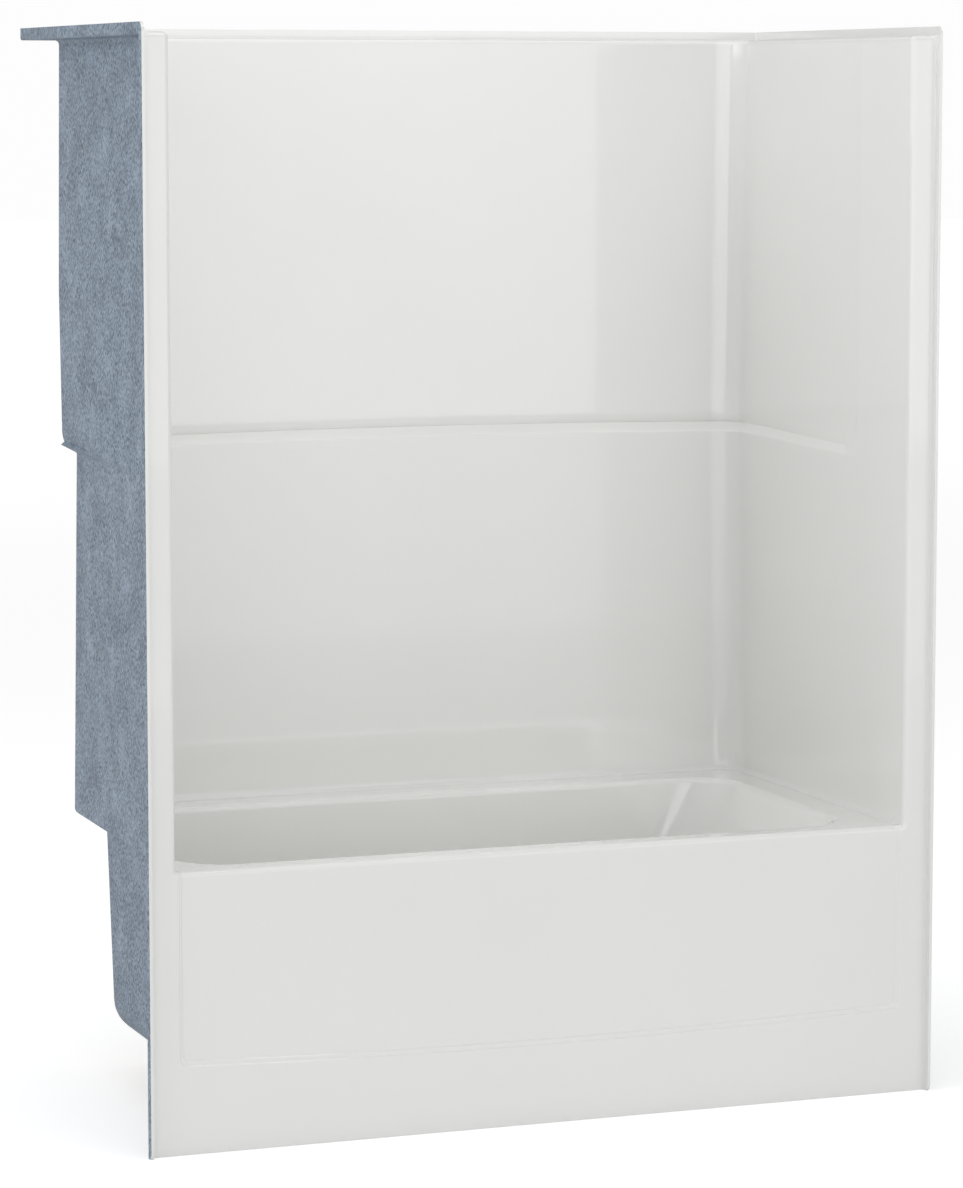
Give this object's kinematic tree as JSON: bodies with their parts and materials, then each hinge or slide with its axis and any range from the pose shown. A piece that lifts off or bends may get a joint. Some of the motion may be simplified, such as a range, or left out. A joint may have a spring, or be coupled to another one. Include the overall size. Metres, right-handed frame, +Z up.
{
  "type": "tub and shower unit",
  "caption": "Moulded alcove tub and shower unit with tall coved walls, deep basin, sloping backrest, panelled apron, top ledge and nailing lip, over a hidden timber base.",
  "frame": {"origin": "on the floor, under the middle of the whole unit measured over its nailing lip", "axes": "+Z up; +Y from the open front to the back wall; +X along the tub from the drain end to the sloping end"},
  "size_m": [1.524, 0.832, 1.992],
  "materials": {
    "gelcoat": "glossy white gelcoat",
    "laminate": "bare chopped strand laminate, blue-grey and speckled",
    "rib_laminate": "bare laminate strip",
    "plywood": "raw plywood",
    "timber": "raw softwood",
    "screw_steel": "zinc plated"
  },
  "bodies": {
    "root": {"apron_bottom_rail": "timber", "apron_frame_screws": "screw_steel", "apron_post_1": "timber", "apron_post_2": "timber", "apron_post_3": "timber", "apron_post_4": "timber", "apron_top_rail": "timber", "back_deck_board": "timber", "back_deck_leg_1": "timber", "back_deck_leg_2": "timber", "back_deck_leg_3": "timber", "back_rib_core_high": "timber", "back_rib_core_low": "timber", "back_rib_core_middle": "timber", "back_rib_cover_high": "rib_laminate", "back_rib_cover_low": "rib_laminate", "back_rib_cover_middle": "rib_laminate", "backrest_gusset": "plywood", "base_block_back_left": "timber", "base_block_back_right": "timber", "base_block_front_left": "timber", "base_block_front_right": "timber", "base_frame_screws": "screw_steel", "base_runner_back": "timber", "base_runner_front": "timber", "base_runner_middle": "timber", "deck_leg_screws": "screw_steel", "fibreglass_shell": "laminate", "finish_shell": "gelcoat", "floor_core": "plywood"}
  },
  "joints": []
}
